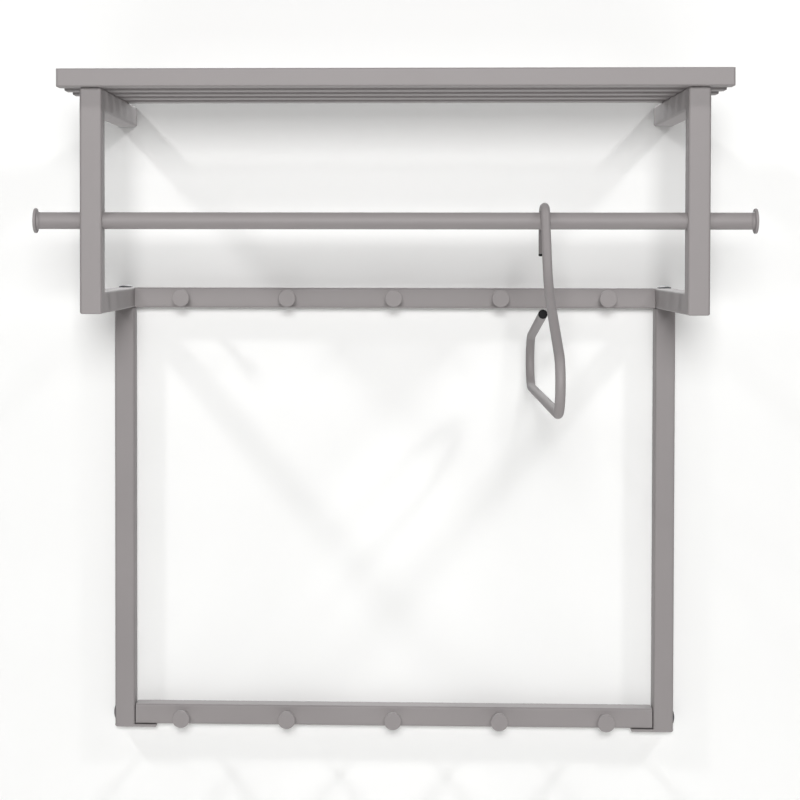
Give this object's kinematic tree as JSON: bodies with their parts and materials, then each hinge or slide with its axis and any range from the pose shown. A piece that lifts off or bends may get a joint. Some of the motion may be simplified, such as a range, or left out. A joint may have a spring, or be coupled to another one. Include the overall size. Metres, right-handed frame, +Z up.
{
  "type": "wall mounted coat rack",
  "caption": "Wall-mounted square-tube coat rack with a slatted hat shelf on two brackets, a garment rod, two rails of round-headed pegs and a bent-bar hanger.",
  "frame": {"origin": "centre of the top rail's back face, in the wall plane", "axes": "+X to the right along the wall as seen from the room, +Y into the wall, +Z up; the rack stands out from the wall towards -Y"},
  "size_m": [0.808, 0.5022, 0.8018],
  "materials": {
    "powder_coat": "matt fine-texture powder coat, warm grey",
    "black_bolt": "black oxide, satin",
    "zinc_block": "zinc plated, satin",
    "black_cap": "moulded, satin"
  },
  "bodies": {
    "rack": {"slat_1": "powder_coat", "slat_1_end_left": "powder_coat", "slat_1_end_right": "powder_coat", "slat_2": "powder_coat", "slat_2_end_left": "powder_coat", "slat_2_end_right": "powder_coat", "slat_3": "powder_coat", "slat_3_end_left": "powder_coat", "slat_3_end_right": "powder_coat", "slat_4": "powder_coat", "slat_4_end_left": "powder_coat", "slat_4_end_right": "powder_coat", "slat_5": "powder_coat", "slat_5_end_left": "powder_coat", "slat_5_end_right": "powder_coat", "post_left": "powder_coat", "top_arm_left": "powder_coat", "bottom_arm_left": "powder_coat", "keyhole_plate_upper_left": "powder_coat", "keyhole_plate_lower_left": "powder_coat", "post_right": "powder_coat", "top_arm_right": "powder_coat", "bottom_arm_right": "powder_coat", "keyhole_plate_upper_right": "powder_coat", "keyhole_plate_lower_right": "powder_coat", "top_rail": "powder_coat", "top_peg_1": "powder_coat", "top_peg_2": "powder_coat", "top_peg_3": "powder_coat", "top_peg_4": "powder_coat", "top_peg_5": "powder_coat", "upright_left": "powder_coat", "foot_plate_left": "powder_coat", "upright_right": "powder_coat", "foot_plate_right": "powder_coat", "upright_block_left": "zinc_block", "rail_block_left": "zinc_block", "upright_block_right": "zinc_block", "rail_block_right": "zinc_block", "arm_bolt_left": "black_bolt", "rail_bolt_left": "black_bolt", "arm_bolt_right": "black_bolt", "rail_bolt_right": "black_bolt", "bottom_rail": "powder_coat", "bottom_peg_1": "powder_coat", "bottom_peg_2": "powder_coat", "bottom_peg_3": "powder_coat", "bottom_peg_4": "powder_coat", "bottom_peg_5": "powder_coat"},
    "rod": {"garment_rod": "powder_coat", "rod_stop_left": "powder_coat", "rod_stop_right": "powder_coat"},
    "hanger": {"hanger_bar": "powder_coat", "hanger_cap_hook": "black_cap", "hanger_cap_arm": "black_cap"}
  },
  "joints": [
    {"name": "rod_turn", "type": "hinge", "parent": "rack", "child": "rod", "pos_m": [0, -0.2775, 0.092], "axis": [-1, 0, 0], "range_deg": [-6, 40]},
    {"name": "hanger_slide", "type": "slide", "parent": "rod", "child": "hanger", "axis": [1, 0, 0], "range_m": [-0.484, 0.148]}
  ]
}
